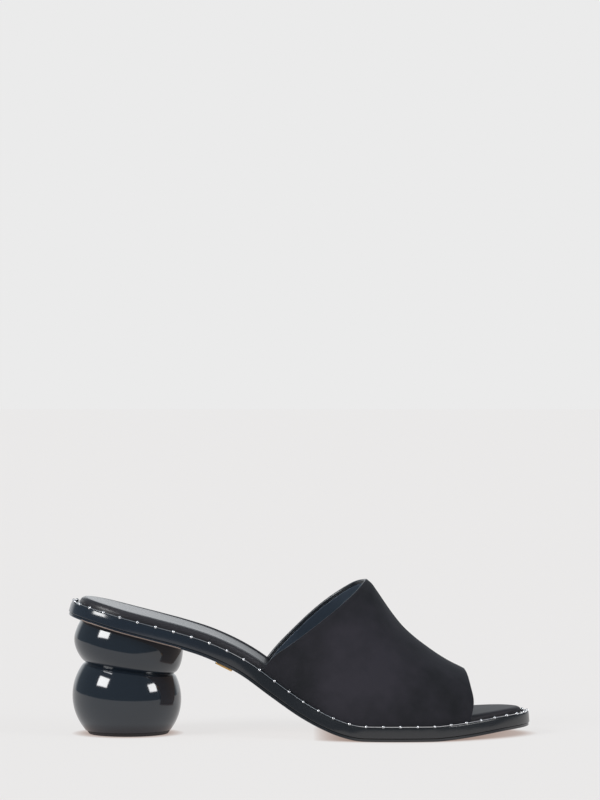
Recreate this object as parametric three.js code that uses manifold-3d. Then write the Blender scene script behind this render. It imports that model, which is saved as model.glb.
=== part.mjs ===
// An open-toe high-heeled mule, right shoe, in millimetres, toe towards +X, +Z up.
// The origin is the centre of the heel's foot, on the floor. Inside the shoe group, x runs
// forward from the back of the sole, the lateral side is -y and the medial side is +y.
import * as THREE from 'three';
import { mergeVertices } from 'three/addons/utils/BufferGeometryUtils.js';
import Module from 'manifold-3d';

const wasm = await Module();
wasm.setup();

// Sole, from the underside up
const LENGTH = 240;
const BALL_WIDTH = 85.5;
const SEAT_WIDTH = 63;
const SEAT_HEIGHT = 62;
const TOE_SPRING = 4.3;
const OUTSOLE_THICKNESS = 1.6;
const OUTSOLE_INSET = 0.5;
const PLATFORM_THICKNESS = 5.2;
const PLATFORM_BEVEL = 0.6;
const INSOLE_THICKNESS = 3.9;
const INSOLE_ROLL = 2.8;
const RIBS = 44;

// Upper
const WALL = 1.8;
const LEDGE = 2.1;
const THROAT_BASE = 100.5;
const PEAK_AT = 155;
const PEAK_HEIGHT = 80.2;
const VAMP_FRONT = 208;
const FRONT_BOW = 1.8;
const FRONT_HEIGHT = 32.4;
const UPPER_STATIONS = 24;
const UPPER_AROUND = 32;

// Heel
const HEEL_CENTRE = 31.5;
const FOOT_RADIUS = 20.7;
const TOP_LIFT_THICKNESS = 1.6;
const TOP_LIFT_BEVEL = 0.3;
const TOP_LIFT_STEP = 0.3;
const ORB_RADIUS = 28.25;
const ORB_BACK = 0.9;
const ORB_CENTRE_HEIGHT = 18.7;
const ORB_BELOW = 27.1;
const ORB_ABOVE = 28.3;
const ORB_LEAN = 0.04;
const CUP_RADIUS = 28.65;
const CUP_BACK = 0.3;
const CUP_CENTRE_HEIGHT = 44.2;
const CUP_BELOW = 18;
const CUP_ABOVE = 28.7;
const CUP_TILT = 16.2;
const HEEL_FACETS = 36;
const CUT_MARGIN = 12;

// Trim on the ledge, and the bar under the waist
const STUD_RADIUS = 0.85;
const STUD_HEIGHT = 1;
const STUD_PITCH = 9.04;
const STUD_SHOULDER = { radius: 0.8, height: 0.7 };
const STUD_FACETS = 5;
const STRIP_INSET = 1;
const STRIP_WIDTH = 0.8;
const STRIP_THICKNESS = 0.3;
const BAR_AT = 82;
const BAR_LENGTH = 9.4;
const BAR_WIDTH = 2.6;
const BAR_THICKNESS = 1;
const BAR_INSET = 0.6;
const BAR_BEVEL = 0.3;
const BAR_FACETS = 6;

// Clearance between pieces that meet
const GAP = 0.3;

// Heights of the pieces' faces above the outsole's underside, square to the sole
const PLATFORM_BASE = OUTSOLE_THICKNESS + GAP;
const LEDGE_LIFT = PLATFORM_BASE + PLATFORM_THICKNESS;
const DECK_LIFT = LEDGE_LIFT + GAP;
const INSOLE_INSET = LEDGE + WALL + GAP;

// Side view of the underside: shares of the length, of the seat's height and of the toe spring
const PROFILE = [
  { along: 0.000, seat: 1.000, toe: 0 },
  { along: 0.077, seat: 0.919, toe: 0 },
  { along: 0.112, seat: 0.880, toe: 0 },
  { along: 0.188, seat: 0.802, toe: 0 },
  { along: 0.246, seat: 0.741, toe: 0 },
  { along: 0.300, seat: 0.671, toe: 0 },
  { along: 0.375, seat: 0.527, toe: 0 },
  { along: 0.438, seat: 0.353, toe: 0 },
  { along: 0.502, seat: 0.186, toe: 0 },
  { along: 0.541, seat: 0.106, toe: 0 },
  { along: 0.592, seat: 0.030, toe: 0 },
  { along: 0.617, seat: 0.008, toe: 0 },
  { along: 0.642, seat: 0.000, toe: 0 },
  { along: 0.785, seat: 0.000, toe: 0 },
  { along: 0.821, seat: 0, toe: 0.10 },
  { along: 0.883, seat: 0, toe: 0.42 },
  { along: 0.938, seat: 0, toe: 0.78 },
  { along: 1.000, seat: 0, toe: 1.00 },
];

// Plan of the sole: shares of the length, and of a width that goes from the seat's to the ball's
const OUTLINE = [
  { along: 0.000, ball: 0.00, lateral: 0.000, medial: 0.000 },
  { along: 0.020, ball: 0.00, lateral: 0.265, medial: 0.260 },
  { along: 0.055, ball: 0.00, lateral: 0.408, medial: 0.400 },
  { along: 0.100, ball: 0.00, lateral: 0.484, medial: 0.472 },
  { along: 0.160, ball: 0.00, lateral: 0.505, medial: 0.488 },
  { along: 0.250, ball: 0.00, lateral: 0.492, medial: 0.448 },
  { along: 0.350, ball: 0.00, lateral: 0.478, medial: 0.390 },
  { along: 0.415, ball: 0.25, lateral: 0.446, medial: 0.350 },
  { along: 0.465, ball: 0.50, lateral: 0.446, medial: 0.350 },
  { along: 0.500, ball: 0.65, lateral: 0.461, medial: 0.362 },
  { along: 0.542, ball: 0.80, lateral: 0.486, medial: 0.380 },
  { along: 0.592, ball: 1.00, lateral: 0.506, medial: 0.394 },
  { along: 0.625, ball: 1.00, lateral: 0.531, medial: 0.414 },
  { along: 0.700, ball: 1.00, lateral: 0.556, medial: 0.440 },
  { along: 0.750, ball: 1.00, lateral: 0.550, medial: 0.447 },
  { along: 0.792, ball: 1.00, lateral: 0.530, medial: 0.441 },
  { along: 0.828, ball: 1.00, lateral: 0.489, medial: 0.422 },
  { along: 0.861, ball: 1.00, lateral: 0.438, medial: 0.395 },
  { along: 0.892, ball: 1.00, lateral: 0.381, medial: 0.357 },
  { along: 0.923, ball: 1.00, lateral: 0.320, medial: 0.306 },
  { along: 0.951, ball: 1.00, lateral: 0.250, medial: 0.242 },
  { along: 0.975, ball: 1.00, lateral: 0.174, medial: 0.170 },
  { along: 0.991, ball: 1.00, lateral: 0.100, medial: 0.098 },
  { along: 1.000, ball: 1.00, lateral: 0.000, medial: 0.000 },
];

// The last's ridge: shares of the way from peak to front, and of the drop between them;
// the rows behind the peak are the instep that the side walls lean towards
const RIDGE = [
  { forward: -1.050, height: 2.05 },
  { forward: -0.660, height: 1.80 },
  { forward: -0.290, height: 1.42 },
  { forward: -0.090, height: 1.13 },
  { forward: 0.000, height: 1.000 },
  { forward: 0.058, height: 0.942 },
  { forward: 0.117, height: 0.850 },
  { forward: 0.234, height: 0.660 },
  { forward: 0.353, height: 0.492 },
  { forward: 0.470, height: 0.370 },
  { forward: 0.590, height: 0.268 },
  { forward: 0.706, height: 0.178 },
  { forward: 0.823, height: 0.100 },
  { forward: 0.940, height: 0.036 },
  { forward: 1.000, height: 0.000 },
  { forward: 1.060, height: -0.045 },
];

// The last's cross sections, by share of the length: how full the arch is on each side,
// 2 for an ellipse, and how far the ridge lies to the medial side, as a share of the ball's width
const SECTION = [
  { along: 0.400, lateral: 2.05, medial: 2.15, ridge: 0.02 },
  { along: 0.540, lateral: 2.00, medial: 2.20, ridge: 0.05 },
  { along: 0.650, lateral: 1.90, medial: 2.10, ridge: 0.05 },
  { along: 0.760, lateral: 1.95, medial: 2.05, ridge: 0.03 },
  { along: 0.880, lateral: 2.20, medial: 2.25, ridge: 0.00 },
];

// Side view of the toe opening, from the base up to the ridge: shares of the front's bow
const FRONT_EDGE = [
  { up: 0.00, bow: 0.00 },
  { up: 0.28, bow: 1.00 },
  { up: 0.55, bow: 0.25 },
  { up: 1.00, bow: -0.83 },
];

// Side view of the throat: shares of the way from its base forward to the peak, and of its rise
const THROAT = [
  { forward: 0.000, lateral: 0.000, medial: 0.000 },
  { forward: 0.085, lateral: 0.125, medial: 0.135 },
  { forward: 0.290, lateral: 0.310, medial: 0.395 },
  { forward: 0.545, lateral: 0.545, medial: 0.673 },
  { forward: 0.790, lateral: 0.780, medial: 0.880 },
  { forward: 0.900, lateral: 0.890, medial: 0.957 },
  { forward: 1.000, lateral: 1.000, medial: 1.000 },
];

// The studs along one side of the ledge: shares of their number and of the side's length,
// both from the back; they stand a little further apart at the waist than round the ends
const STUD_SPREAD = [
  { stud: 0.00, along: 0.000 },
  { stud: 0.06, along: 0.055 },
  { stud: 0.25, along: 0.249 },
  { stud: 0.44, along: 0.452 },
  { stud: 0.62, along: 0.633 },
  { stud: 0.75, along: 0.759 },
  { stud: 0.88, along: 0.890 },
  { stud: 1.00, along: 1.000 },
];

// A smooth curve through one column of a table, level where the column turns, so that it
// never swings past its own rows; its slope stays under a few times the chord's on either side
const STEEPEST = 3;
function through(rows, key, column) {
  const at = rows.map((row) => row[key]);
  const value = rows.map((row) => row[column]);
  const last = at.length - 1;
  const secant = [];
  for (let i = 0; i < last; i += 1) {
    secant.push((value[i + 1] - value[i]) / (at[i + 1] - at[i]));
  }
  const slope = at.map((_, i) => {
    if (i === 0) return secant[0];
    if (i === last) return secant[last - 1];
    const before = secant[i - 1];
    const after = secant[i];
    if (before * after <= 0) return 0;
    const nearer = (at[i + 1] - at[i]) / (at[i + 1] - at[i - 1]);
    const middle = THREE.MathUtils.lerp(after, before, nearer);
    const steepest = STEEPEST * Math.min(Math.abs(before), Math.abs(after));
    return THREE.MathUtils.clamp(middle, -steepest, steepest);
  });
  return (x) => {
    let i = 0;
    while (i < last - 1 && x > at[i + 1]) i += 1;
    const span = at[i + 1] - at[i];
    const t = THREE.MathUtils.clamp((x - at[i]) / span, 0, 1);
    const rise = value[i + 1] - value[i];
    const bend = slope[i] + slope[i + 1] - 2 * rise / span;
    const sag = 3 * rise / span - 2 * slope[i] - slope[i + 1];
    return value[i] + span * t * (slope[i] + t * (sag + t * bend));
  };
}

// The value between two limits where a rising function crosses zero
const HALVINGS = 40;
function crossing(low, high, f) {
  let a = low;
  let b = high;
  for (let step = 0; step < HALVINGS; step += 1) {
    const middle = (a + b) / 2;
    if (f(middle) > 0) b = middle;
    else a = middle;
  }
  return (a + b) / 2;
}

// Height of the outsole's underside above the floor
const seatRise = through(PROFILE, 'along', 'seat');
const toeRise = through(PROFILE, 'along', 'toe');
function underside(x) {
  const share = x / LENGTH;
  return SEAT_HEIGHT * seatRise(share) + TOE_SPRING * toeRise(share);
}

// A point of the sole: x along the underside, y across, lift square to the sole
const SLOPE_STEP = 0.5;
function place(x, y, lift) {
  const back = Math.max(0, x - SLOPE_STEP);
  const front = Math.min(LENGTH, x + SLOPE_STEP);
  const slope = (underside(front) - underside(back)) / (front - back);
  const size = Math.hypot(1, slope);
  return new THREE.Vector3(x - (lift * slope) / size, y, underside(x) + lift / size);
}

// Plan outline by an angle that runs from 0 at the back to pi at the toe, round at both ends
const byAngle = OUTLINE.map((row) => ({ ...row, angle: Math.acos(1 - 2 * row.along) }));
const ballShare = through(byAngle, 'angle', 'ball');
const halfShare = { '-1': through(byAngle, 'angle', 'lateral'), 1: through(byAngle, 'angle', 'medial') };
function angleAt(x) {
  return Math.acos(1 - (2 * x) / LENGTH);
}
function outlinePoint(angle, side) {
  const width = THREE.MathUtils.lerp(SEAT_WIDTH, BALL_WIDTH, ballShare(angle));
  const x = (LENGTH * (1 - Math.cos(angle))) / 2;
  return new THREE.Vector2(x, side * width * halfShare[side](angle));
}

// The same outline set in by a distance, square to itself
const ANGLE_STEP = 0.004;
function insetPoint(angle, side, inset) {
  const back = outlinePoint(Math.max(0, angle - ANGLE_STEP), side);
  const front = outlinePoint(Math.min(Math.PI, angle + ANGLE_STEP), side);
  const run = front.sub(back).normalize();
  if (angle < ANGLE_STEP || angle > Math.PI - ANGLE_STEP) run.setX(0).normalize();
  const outward = new THREE.Vector2(-run.y, run.x).multiplyScalar(side);
  return outlinePoint(angle, side).addScaledVector(outward, -inset);
}

// One ring round the sole: the lateral side forward, then the medial side back
function ring(inset, lift) {
  const points = [];
  for (let i = 0; i <= RIBS; i += 1) {
    const p = insetPoint((Math.PI * i) / RIBS, -1, inset);
    points.push(place(p.x, p.y, lift));
  }
  for (let i = RIBS - 1; i > 0; i -= 1) {
    const p = insetPoint((Math.PI * i) / RIBS, 1, inset);
    points.push(place(p.x, p.y, lift));
  }
  return points;
}

function meshGeometry(points, triangles) {
  const geometry = new THREE.BufferGeometry();
  geometry.setAttribute('position', new THREE.Float32BufferAttribute(points.flatMap((p) => p.toArray()), 3));
  geometry.setIndex(triangles);
  return geometry;
}

// The skin between rings, each to the next; a loop also joins the last ring to the first
function ringSides(rings, looped) {
  const count = rings[0].length;
  const steps = looped ? rings.length : rings.length - 1;
  const triangles = [];
  for (let k = 0; k < steps; k += 1) {
    const low = k * count;
    const high = ((k + 1) % rings.length) * count;
    for (let i = 0; i < count; i += 1) {
      const j = (i + 1) % count;
      triangles.push(low + i, low + j, high + j, low + i, high + j, high + i);
    }
  }
  return triangles;
}

// A solid stacked from rings, lowest first, closed below and above by ribs across the sole
function stack(rings) {
  const count = rings[0].length;
  const triangles = ringSides(rings, false);
  const top = (rings.length - 1) * count;
  for (let i = 0; i < RIBS; i += 1) {
    const lateral = i;
    const lateralNext = i + 1;
    const medial = (count - i) % count;
    const medialNext = count - i - 1;
    if (i > 0) {
      triangles.push(top + lateral, top + medialNext, top + medial);
      triangles.push(lateral, medial, medialNext);
    }
    if (i < RIBS - 1) {
      triangles.push(top + lateral, top + lateralNext, top + medialNext);
      triangles.push(lateral, medialNext, lateralNext);
    }
  }
  return meshGeometry(rings.flat(), triangles);
}

// The last, as upright cross sections: x forward, around from 0 at the lateral base over the
// ridge at 0.5 to 1 at the medial base
const ridgeRise = through(RIDGE, 'forward', 'height');
const ridgeShift = through(SECTION, 'along', 'ridge');
const fullness = { '-1': through(SECTION, 'along', 'lateral'), 1: through(SECTION, 'along', 'medial') };
function ridgeHeight(x) {
  const forward = (x - PEAK_AT) / (VAMP_FRONT - PEAK_AT);
  return FRONT_HEIGHT + (PEAK_HEIGHT - FRONT_HEIGHT) * ridgeRise(forward);
}
function ledgePoint(x, side) {
  const station = (angle) => place(insetPoint(angle, side, LEDGE).x, 0, DECK_LIFT).x;
  const angle = crossing(0, Math.PI, (a) => station(a) - x);
  const foot = insetPoint(angle, side, LEDGE);
  return place(foot.x, foot.y, DECK_LIFT);
}
function lastPoint(x, around) {
  const side = around < 0.5 ? -1 : 1;
  const turn = (Math.PI / 2) * (1 - Math.abs(2 * around - 1));
  const base = ledgePoint(x, side);
  const power = 2 / fullness[side](x / LENGTH);
  const y = THREE.MathUtils.lerp(BALL_WIDTH * ridgeShift(x / LENGTH), base.y, Math.cos(turn) ** power);
  const z = THREE.MathUtils.lerp(base.z, ridgeHeight(x), Math.sin(turn) ** power);
  return new THREE.Vector3(x, y, z);
}

// Where the throat and the toe opening cut the last
const throatRise = { '-1': through(THROAT, 'forward', 'lateral'), 1: through(THROAT, 'forward', 'medial') };
function throatX(around) {
  const side = around < 0.5 ? -1 : 1;
  const foot = ledgePoint(THROAT_BASE, side).z;
  const edge = (x) => {
    const forward = (x - THROAT_BASE) / (PEAK_AT - THROAT_BASE);
    return foot + (PEAK_HEIGHT - foot) * throatRise[side](forward);
  };
  return crossing(THROAT_BASE, PEAK_AT, (x) => edge(x) - lastPoint(x, around).z);
}
const frontBow = through(FRONT_EDGE, 'up', 'bow');
function frontX(around) {
  return VAMP_FRONT + FRONT_BOW * frontBow(1 - Math.abs(2 * around - 1));
}

// Upper: one hollow band of even wall, open at throat and toe and underneath
function upper() {
  const size = UPPER_AROUND + 1;
  const arches = [];
  for (let j = 0; j < size; j += 1) {
    const around = j / UPPER_AROUND;
    arches.push({ around, back: throatX(around), front: frontX(around) });
  }
  const outer = [];
  for (let i = 0; i <= UPPER_STATIONS; i += 1) {
    for (const arch of arches) {
      const x = THREE.MathUtils.lerp(arch.back, arch.front, i / UPPER_STATIONS);
      outer.push(lastPoint(x, arch.around));
    }
  }
  const inner = outer.map((point, index) => {
    const i = Math.floor(index / size);
    const j = index % size;
    const before = outer[Math.max(0, i - 1) * size + j];
    const after = outer[Math.min(UPPER_STATIONS, i + 1) * size + j];
    const lower = outer[i * size + Math.max(0, j - 1)];
    const higher = outer[i * size + Math.min(UPPER_AROUND, j + 1)];
    const forward = after.clone().sub(before);
    const across = higher.clone().sub(lower);
    if (j === 0 || j === UPPER_AROUND) across.setX(0).setY(0);
    return point.clone().addScaledVector(forward.cross(across).normalize(), -WALL);
  });
  const triangles = [];
  const quad = (a, b, c, d) => triangles.push(a, b, c, a, c, d);
  const shift = outer.length;
  for (let i = 0; i < UPPER_STATIONS; i += 1) {
    for (let j = 0; j < UPPER_AROUND; j += 1) {
      const a = i * size + j;
      quad(a, a + size, a + size + 1, a + 1);
      quad(shift + a, shift + a + 1, shift + a + size + 1, shift + a + size);
    }
    const lateral = i * size;
    const medial = lateral + UPPER_AROUND;
    quad(lateral + size, lateral, shift + lateral, shift + lateral + size);
    quad(medial, medial + size, shift + medial + size, shift + medial);
  }
  const front = UPPER_STATIONS * size;
  for (let j = 0; j < UPPER_AROUND; j += 1) {
    quad(j, j + 1, shift + j + 1, shift + j);
    quad(front + j + 1, front + j, shift + front + j, shift + front + j + 1);
  }
  return meshGeometry([...outer, ...inner], triangles);
}

// Solids for cuts and joins
const MERGE_WITHIN = 1e-4;
function solid(geometry) {
  const bare = geometry.clone();
  bare.deleteAttribute('normal');
  bare.deleteAttribute('uv');
  const merged = mergeVertices(bare, MERGE_WITHIN);
  const index = Array.from(merged.index.array);
  const kept = [];
  for (let i = 0; i < index.length; i += 3) {
    const [a, b, c] = index.slice(i, i + 3);
    if (a !== b && b !== c && c !== a) kept.push(a, b, c);
  }
  const vertProperties = new Float32Array(merged.attributes.position.array);
  const triVerts = new Uint32Array(kept);
  return new wasm.Manifold(new wasm.Mesh({ numProp: 3, vertProperties, triVerts }));
}
function geometryOf(body) {
  const mesh = body.getMesh();
  const geometry = new THREE.BufferGeometry();
  geometry.setAttribute('position', new THREE.BufferAttribute(new Float32Array(mesh.vertProperties), 3));
  geometry.setIndex(Array.from(mesh.triVerts));
  return geometry;
}

// Outsole: thin leather, a little inside the platform's side
function outsole() {
  return stack([ring(OUTSOLE_INSET, 0), ring(OUTSOLE_INSET, OUTSOLE_THICKNESS)]);
}

// Platform: its side square to the sole, both edges bevelled
function platform() {
  return stack([
    ring(PLATFORM_BEVEL, PLATFORM_BASE),
    ring(0, PLATFORM_BASE + PLATFORM_BEVEL),
    ring(0, LEDGE_LIFT - PLATFORM_BEVEL),
    ring(PLATFORM_BEVEL, LEDGE_LIFT),
  ]);
}

// Insole: a pad with a quarter-round edge
const ROLL_STEPS = 4;
function insole() {
  const rings = [ring(INSOLE_INSET, DECK_LIFT)];
  for (let k = 0; k <= ROLL_STEPS; k += 1) {
    const turn = (Math.PI / 2) * (k / ROLL_STEPS);
    const inset = INSOLE_INSET + INSOLE_ROLL * (1 - Math.cos(turn));
    rings.push(ring(inset, DECK_LIFT + INSOLE_THICKNESS - INSOLE_ROLL * (1 - Math.sin(turn))));
  }
  return stack(rings);
}

// Heel: an orb with a shallower cup over it, cut off along the outsole and above the top lift
function round(radius, below, above) {
  const profile = [];
  const steps = HEEL_FACETS / 2;
  for (let i = 0; i <= steps; i += 1) {
    const turn = Math.PI * (i / steps - 0.5);
    const height = Math.sin(turn) * (turn < 0 ? below : above);
    profile.push(new THREE.Vector2(radius * Math.cos(turn), height));
  }
  profile[0].x = 0;
  profile[steps].x = 0;
  return new THREE.LatheGeometry(profile, HEEL_FACETS).rotateX(Math.PI / 2);
}
function heel() {
  const orb = round(ORB_RADIUS, ORB_BELOW, ORB_ABOVE);
  orb.applyMatrix4(new THREE.Matrix4().makeShear(0, 0, 0, 0, -ORB_LEAN, 0));
  orb.translate(HEEL_CENTRE - ORB_BACK, 0, ORB_CENTRE_HEIGHT);
  const cup = round(CUP_RADIUS, CUP_BELOW, CUP_ABOVE);
  cup.rotateY(THREE.MathUtils.degToRad(CUP_TILT));
  cup.translate(HEEL_CENTRE - CUP_BACK, 0, CUP_CENTRE_HEIGHT);
  const seat = ring(-CUT_MARGIN, -GAP);
  const sky = SEAT_HEIGHT + CUP_CENTRE_HEIGHT + CUP_ABOVE;
  const overSole = stack([seat, seat.map((p) => new THREE.Vector3(p.x, p.y, sky))]);
  const underLift = new THREE.BoxGeometry(LENGTH, LENGTH, LENGTH);
  underLift.translate(HEEL_CENTRE, 0, TOP_LIFT_THICKNESS + GAP - LENGTH / 2);
  return geometryOf(solid(orb).add(solid(cup)).subtract(solid(overSole)).subtract(solid(underLift)));
}

// Top lift: a thin disc under the heel, its side flaring up to the orb's
function topLift() {
  const belowCentre = ORB_CENTRE_HEIGHT - TOP_LIFT_THICKNESS;
  const topRadius = ORB_RADIUS * Math.sqrt(1 - (belowCentre / ORB_BELOW) ** 2) - TOP_LIFT_STEP;
  const profile = [
    new THREE.Vector2(0, 0),
    new THREE.Vector2(FOOT_RADIUS - TOP_LIFT_BEVEL, 0),
    new THREE.Vector2(FOOT_RADIUS, TOP_LIFT_BEVEL),
    new THREE.Vector2(topRadius, TOP_LIFT_THICKNESS),
    new THREE.Vector2(0, TOP_LIFT_THICKNESS),
  ];
  return new THREE.LatheGeometry(profile, HEEL_FACETS).rotateX(Math.PI / 2).translate(HEEL_CENTRE, 0, 0);
}

// Stud trim: a thin strip all round the ledge with a row of small domes on it, the same on
// both sides, with one dome at the back and one at the toe
const LOOP_STEPS = 360;
const studAlong = through(STUD_SPREAD, 'stud', 'along');
function loopPlace(angle, side, lift) {
  const p = insetPoint(angle, side, STRIP_INSET);
  return place(p.x, p.y, lift);
}
function studAngles(side) {
  const lengths = [0];
  let before = loopPlace(0, side, DECK_LIFT);
  for (let i = 1; i <= LOOP_STEPS; i += 1) {
    const after = loopPlace((Math.PI * i) / LOOP_STEPS, side, DECK_LIFT);
    lengths.push(lengths[i - 1] + before.distanceTo(after));
    before = after;
  }
  const total = lengths[LOOP_STEPS];
  const count = Math.round(total / STUD_PITCH);
  const angles = [];
  for (let k = 1; k < count; k += 1) {
    const target = total * studAlong(k / count);
    const i = lengths.findIndex((length) => length >= target);
    const part = (target - lengths[i - 1]) / (lengths[i] - lengths[i - 1]);
    angles.push((Math.PI * (i - 1 + part)) / LOOP_STEPS);
  }
  return angles;
}
function studTrim() {
  const low = DECK_LIFT;
  const high = DECK_LIFT + STRIP_THICKNESS;
  const rings = [
    ring(STRIP_INSET - STRIP_WIDTH / 2, low),
    ring(STRIP_INSET - STRIP_WIDTH / 2, high),
    ring(STRIP_INSET + STRIP_WIDTH / 2, high),
    ring(STRIP_INSET + STRIP_WIDTH / 2, low),
  ];
  let trim = solid(meshGeometry(rings.flat(), ringSides(rings, true)));
  const profile = [
    new THREE.Vector2(0, 0),
    new THREE.Vector2(STUD_RADIUS, 0),
    new THREE.Vector2(STUD_RADIUS * STUD_SHOULDER.radius, STUD_HEIGHT * STUD_SHOULDER.height),
    new THREE.Vector2(0, STUD_HEIGHT),
  ];
  const addDome = (angle, side) => {
    const foot = loopPlace(angle, side, low);
    const up = loopPlace(angle, side, high).sub(foot).normalize();
    const dome = new THREE.LatheGeometry(profile, STUD_FACETS);
    dome.applyQuaternion(new THREE.Quaternion().setFromUnitVectors(new THREE.Vector3(0, 1, 0), up));
    dome.translate(foot.x, foot.y, foot.z);
    trim = trim.add(solid(dome));
  };
  for (const angle of [0, ...studAngles(-1), Math.PI]) addDome(angle, -1);
  for (const angle of studAngles(1)) addDome(angle, 1);
  return geometryOf(trim);
}

// Waist bar: a plain round-ended metal bar under the lateral edge of the waist
function waistBar() {
  const shape = new THREE.Shape();
  const reach = (BAR_LENGTH - BAR_WIDTH) / 2;
  shape.absarc(reach, 0, BAR_WIDTH / 2, -Math.PI / 2, Math.PI / 2);
  shape.absarc(-reach, 0, BAR_WIDTH / 2, Math.PI / 2, Math.PI * 1.5);
  const bar = new THREE.ExtrudeGeometry(shape, {
    depth: BAR_THICKNESS - 2 * BAR_BEVEL,
    bevelThickness: BAR_BEVEL,
    bevelSize: BAR_BEVEL,
    bevelOffset: -BAR_BEVEL,
    bevelSegments: 1,
    curveSegments: BAR_FACETS,
  });
  const edge = insetPoint(angleAt(BAR_AT), -1, OUTSOLE_INSET + BAR_INSET + BAR_WIDTH / 2);
  const seat = place(edge.x, edge.y, -GAP);
  const down = place(edge.x, edge.y, -GAP - 1).sub(seat);
  const side = new THREE.Vector3(0, 1, 0);
  const turn = new THREE.Matrix4().makeBasis(side.clone().cross(down), side, down);
  return bar.translate(0, 0, BAR_BEVEL).applyMatrix4(turn).translate(seat.x, seat.y, seat.z);
}

// The shoe, its heel's foot over the origin
const shoe = new THREE.Group();
shoe.position.x = -HEEL_CENTRE;
function add(name, geometry, color, roughness, metalness) {
  const mesh = new THREE.Mesh(geometry, new THREE.MeshStandardMaterial({ color, roughness, metalness }));
  mesh.name = name;
  shoe.add(mesh);
}
add('outsole', outsole(), 0xb98a66, 0.6, 0);
add('platform', platform(), 0x232a33, 0.2, 0);
add('insole', insole(), 0x35353a, 0.35, 0);
add('upper', upper(), 0x333237, 0.8, 0);
add('heel', heel(), 0x1c2129, 0.12, 0);
add('top_lift', topLift(), 0x202126, 0.7, 0);
add('stud_trim', studTrim(), 0xc4c4c8, 0.25, 1);
add('waist_bar', waistBar(), 0xc9a063, 0.3, 1);

export default new THREE.Group().add(shoe);
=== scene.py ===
"""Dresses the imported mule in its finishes: lacquered heel and platform, nubuck vamp, padded footbed."""
import math

import bpy
import numpy as np
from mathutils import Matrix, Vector


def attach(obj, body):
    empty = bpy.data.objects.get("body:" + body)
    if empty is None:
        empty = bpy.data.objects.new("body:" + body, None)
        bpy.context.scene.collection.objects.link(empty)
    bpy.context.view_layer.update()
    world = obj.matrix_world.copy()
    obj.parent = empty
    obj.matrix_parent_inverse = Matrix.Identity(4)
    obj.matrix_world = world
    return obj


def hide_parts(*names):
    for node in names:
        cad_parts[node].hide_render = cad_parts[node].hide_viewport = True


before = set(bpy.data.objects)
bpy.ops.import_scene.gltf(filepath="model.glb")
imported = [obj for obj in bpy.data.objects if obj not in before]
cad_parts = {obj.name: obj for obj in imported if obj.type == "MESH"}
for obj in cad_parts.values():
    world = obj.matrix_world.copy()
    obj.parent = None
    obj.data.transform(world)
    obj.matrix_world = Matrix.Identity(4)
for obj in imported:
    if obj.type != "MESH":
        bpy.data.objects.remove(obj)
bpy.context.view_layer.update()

# Camera: level, side on to the shoe, from the photograph's height and distance
MM = 0.001
EYE = Vector((89.1, -1718, 173.1)) * MM
PIXELS_HIGH = 800
FOCAL_PIXELS = 3304
SENSOR = 36
camera_data = bpy.data.cameras.new("camera")
camera_data.sensor_fit = "VERTICAL"
camera_data.sensor_height = SENSOR
camera_data.lens = FOCAL_PIXELS * SENSOR / PIXELS_HIGH
camera_data.clip_end = 100
camera = bpy.data.objects.new("camera", camera_data)
camera.location = EYE
camera.rotation_euler = (math.radians(90), 0, 0)
bpy.context.collection.objects.link(camera)
bpy.context.scene.camera = camera
bpy.context.scene.view_settings.view_transform = "Standard"

# Outsole: 1.6 mm of tan sole leather, cut a little inside the platform and cemented under it. Its
# edge is painted with the platform's, but for a thin bare line over the heel.
LENGTH = 240
BALL_WIDTH = 85.5
SEAT_WIDTH = 63
SEAT_HEIGHT = 62
TOE_SPRING = 4.3
BACK = -31.5
OUTSOLE_INSET = 0.5
OUTSOLE_THICKNESS = 1.6
GAP = 0.3
SOLE_STEPS = 220
PROFILE = (
    # along, share of the seat's height, share of the toe spring
    (0.000, 1.000, 0), (0.077, 0.919, 0), (0.112, 0.880, 0), (0.188, 0.802, 0),
    (0.246, 0.741, 0), (0.300, 0.671, 0), (0.375, 0.527, 0), (0.438, 0.353, 0),
    (0.502, 0.186, 0), (0.541, 0.106, 0), (0.592, 0.030, 0), (0.617, 0.008, 0),
    (0.642, 0.000, 0), (0.785, 0.000, 0), (0.821, 0, 0.10), (0.883, 0, 0.42),
    (0.938, 0, 0.78), (1.000, 0, 1.00),
)
OUTLINE = (
    # along, share of the way from the seat's width to the ball's, lateral half, medial half
    (0.000, 0.00, 0.000, 0.000), (0.020, 0.00, 0.265, 0.260), (0.055, 0.00, 0.408, 0.400),
    (0.100, 0.00, 0.484, 0.472), (0.160, 0.00, 0.505, 0.488), (0.250, 0.00, 0.492, 0.448),
    (0.350, 0.00, 0.478, 0.390), (0.415, 0.25, 0.446, 0.350), (0.465, 0.50, 0.446, 0.350),
    (0.500, 0.65, 0.461, 0.362), (0.542, 0.80, 0.486, 0.380), (0.592, 1.00, 0.506, 0.394),
    (0.625, 1.00, 0.531, 0.414), (0.700, 1.00, 0.556, 0.440), (0.750, 1.00, 0.550, 0.447),
    (0.792, 1.00, 0.530, 0.441), (0.828, 1.00, 0.489, 0.422), (0.861, 1.00, 0.438, 0.395),
    (0.892, 1.00, 0.381, 0.357), (0.923, 1.00, 0.320, 0.306), (0.951, 1.00, 0.250, 0.242),
    (0.975, 1.00, 0.174, 0.170), (0.991, 1.00, 0.100, 0.098), (1.000, 1.00, 0.000, 0.000),
)
STEEPEST = 3


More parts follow.
